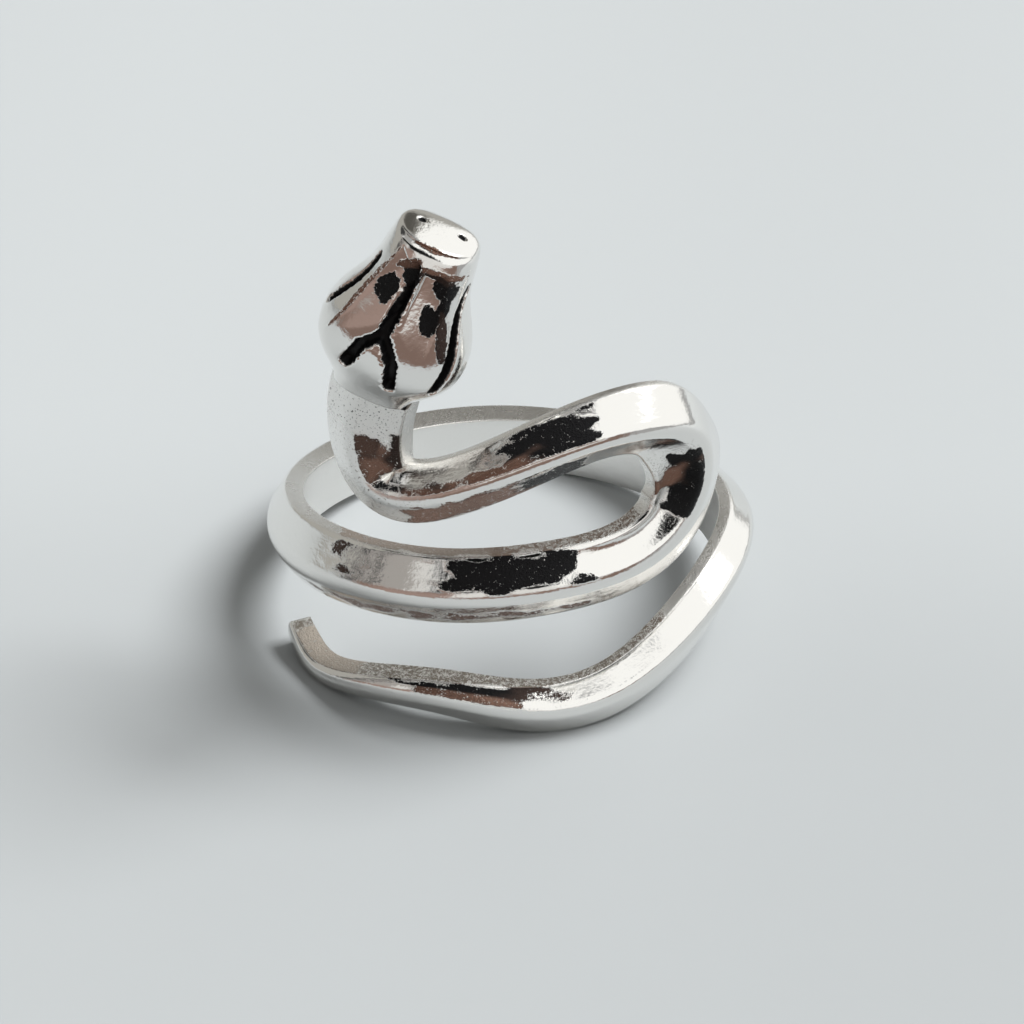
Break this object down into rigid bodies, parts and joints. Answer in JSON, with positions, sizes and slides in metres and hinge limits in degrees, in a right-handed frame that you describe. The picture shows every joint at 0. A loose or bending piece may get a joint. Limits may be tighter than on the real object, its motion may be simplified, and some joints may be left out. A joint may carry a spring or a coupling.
{
  "type": "snake wrap ring",
  "caption": "Open finger ring cast as a snake that winds round the finger in sinuous flat-sided bands, with a raised head at one end and a thin tail at the other.",
  "frame": {"origin": "on the finger axis at the height of the table that the ring lies on", "axes": "+Z along the finger towards the snake's head, -Y the side that shows the head and the three bands, +X to the right as seen from that side"},
  "size_m": [0.0207, 0.0214, 0.0241],
  "materials": {
    "silver": "polished cast silver with dark oxide in the cuts and casting texture on the rims"
  },
  "bodies": {
    "root": {"snake_ring": "silver"}
  },
  "joints": []
}
